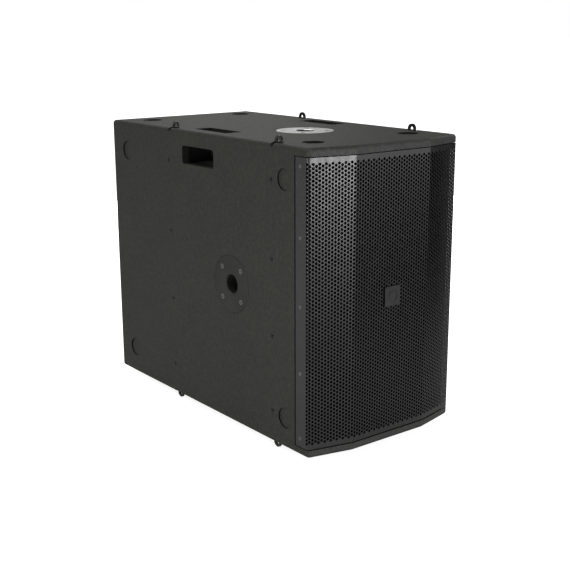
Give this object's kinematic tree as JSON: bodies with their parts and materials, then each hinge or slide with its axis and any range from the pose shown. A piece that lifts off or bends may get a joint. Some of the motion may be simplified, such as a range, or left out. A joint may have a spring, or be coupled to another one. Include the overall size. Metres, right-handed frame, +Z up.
{
  "type": "line array subwoofer cabinet",
  "caption": "Deep, narrow active subwoofer cabinet for a line array, with a faceted perforated front, corner handles, rigging eyes, pole sockets and rubber feet.",
  "frame": {"origin": "on the floor under the middle of the whole object's box", "axes": "+Z up, the grille faces -Y, the amplifier's back faces +Y, +X towards the side without a pole socket"},
  "size_m": [0.36, 0.6984, 0.5865],
  "materials": {
    "textured_paint": "birch plywood under a hard, pebbled charcoal paint, matt",
    "bare_plywood": "bare birch plywood with visible plies",
    "baffle_paint": "birch plywood under flat black paint",
    "pocket_plastic": "moulded black plastic, fine grain",
    "felt": "grey needled polyester felt",
    "grille_steel": "perforated steel, satin black powder coat",
    "foam": "black open-cell foam",
    "dark_screw": "black zinc, satin",
    "badge_metal": null,
    "rigging_enamel": "steel, glossy black enamel",
    "silver_plate": "cast aluminium, satin, fine turned face",
    "painted_plate": "cast aluminium under the cabinet's charcoal paint",
    "plate_screw": "zinc plated countersunk screws",
    "foot_rubber": "black moulded rubber",
    "zinc_screw": "zinc plated",
    "port_plastic": "black plastic tube",
    "basket_metal": "die-cast aluminium, black",
    "plate_steel": "zinc plated steel",
    "ferrite": "dark grey ferrite ceramic",
    "gasket_foam": "black foam rubber",
    "surround_rubber": "soft black rubber, half roll",
    "spider_cloth": "resin-treated cotton, corrugated",
    "cone_pulp": "pressed paper pulp, black",
    "coil_copper": "copper winding on a former",
    "amp_paint": "steel plate, fine black powder coat",
    "anodised": "extruded aluminium, black anodised",
    "galvanised": "galvanised steel sheet",
    "board": "glass-fibre circuit board with parts",
    "socket_plastic": "black glass-filled nylon",
    "mains_plastic": "blue-grey glass-filled nylon",
    "latch_metal": "nickel plated steel",
    "switch_plastic": "moulded black plastic",
    "display_acrylic": "dark acrylic window",
    "shaft_metal": "turned steel",
    "knob_rubber": "soft-touch black, fluted",
    "button_plastic": "grey plastic"
  },
  "bodies": {
    "cabinet": {"top_panel": "textured_paint", "bottom_panel": "textured_paint", "left_side_panel": "textured_paint", "right_side_panel": "textured_paint", "back_panel": "textured_paint", "front_baffle": "baffle_paint", "window_brace": "bare_plywood", "left_handle_pocket": "pocket_plastic", "right_handle_pocket": "pocket_plastic", "damping_felt": "felt", "grille": "grille_steel", "grille_foam": "foam", "grille_screws": "zinc_screw", "badge": "badge_metal", "front_left_rigging_bar": "rigging_enamel", "rear_left_rigging_bar": "rigging_enamel", "front_right_rigging_bar": "rigging_enamel", "rear_right_rigging_bar": "rigging_enamel", "rigging_screws": "dark_screw", "top_pole_socket": "silver_plate", "side_pole_socket": "painted_plate", "countersunk_screws": "plate_screw", "rubber_feet": "foot_rubber", "foot_screws": "zinc_screw", "port_tubes": "port_plastic", "upper_basket": "basket_metal", "lower_basket": "basket_metal", "woofer_front_plates": "plate_steel", "woofer_magnets": "ferrite", "woofer_yokes": "plate_steel", "woofer_gaskets": "gasket_foam", "woofer_screws": "dark_screw", "upper_surround": "surround_rubber", "lower_surround": "surround_rubber", "upper_spider": "spider_cloth", "lower_spider": "spider_cloth", "amp_plate": "amp_paint", "amp_heatsink": "anodised", "amp_housing": "galvanised", "power_board": "board", "control_board": "board", "input_sockets": "socket_plastic", "output_sockets": "socket_plastic", "mains_sockets": "mains_plastic", "power_switch_frame": "switch_plastic", "display_window": "display_acrylic"},
    "upper_cone": {"upper_cone": "cone_pulp", "upper_dust_cap": "cone_pulp", "upper_voice_coil": "coil_copper"},
    "lower_cone": {"lower_cone": "cone_pulp", "lower_dust_cap": "cone_pulp", "lower_voice_coil": "coil_copper"},
    "power_rocker": {"power_rocker": "switch_plastic"},
    "encoder_plunger": {"encoder_plunger": "shaft_metal"},
    "encoder_knob": {"encoder_knob": "knob_rubber"},
    "level_knob": {"level_knob": "knob_rubber"},
    "back_button": {"back_button": "button_plastic"},
    "input_latch_1": {"input_latch_1": "latch_metal"},
    "input_latch_2": {"input_latch_2": "latch_metal"}
  },
  "joints": [
    {"name": "upper_cone_travel", "type": "slide", "parent": "cabinet", "child": "upper_cone", "axis": [0, -1, 0], "range_m": [-0.008, 0.008], "stiffness_N_per_m": 3000, "deforming": ["upper_surround", "upper_spider"]},
    {"name": "lower_cone_travel", "type": "slide", "parent": "cabinet", "child": "lower_cone", "axis": [0, -1, 0], "range_m": [-0.008, 0.008], "stiffness_N_per_m": 3000, "deforming": ["lower_surround", "lower_spider"]},
    {"name": "encoder_push", "type": "slide", "parent": "cabinet", "child": "encoder_plunger", "axis": [0, -1, 0], "range_m": [0, 0.0008], "stiffness_N_per_m": 800, "springref_m": -0.0005},
    {"name": "encoder_turn", "type": "hinge", "parent": "encoder_plunger", "child": "encoder_knob", "pos_m": [0, 0.33225, 0.454], "axis": [0, -1, 0], "continuous": true},
    {"name": "level_turn", "type": "hinge", "parent": "cabinet", "child": "level_knob", "pos_m": [-0.085, 0.33225, 0.454], "axis": [0, -1, 0], "range_deg": [-150, 150]},
    {"name": "back_button_press", "type": "slide", "parent": "cabinet", "child": "back_button", "axis": [0, -1, 0], "range_m": [0, 0.001], "stiffness_N_per_m": 800, "springref_m": -0.0005},
    {"name": "power_rocker_tilt", "type": "hinge", "parent": "cabinet", "child": "power_rocker", "pos_m": [-0.075, 0.32825, 0.316], "axis": [1, 0, 0], "range_deg": [0, 18]},
    {"name": "input_latch_1_press", "type": "slide", "parent": "cabinet", "child": "input_latch_1", "axis": [0, -1, 0], "range_m": [0, 0.0015], "stiffness_N_per_m": 300, "springref_m": -0.001},
    {"name": "input_latch_2_press", "type": "slide", "parent": "cabinet", "child": "input_latch_2", "axis": [0, -1, 0], "range_m": [0, 0.0015], "stiffness_N_per_m": 300, "springref_m": -0.001}
  ]
}
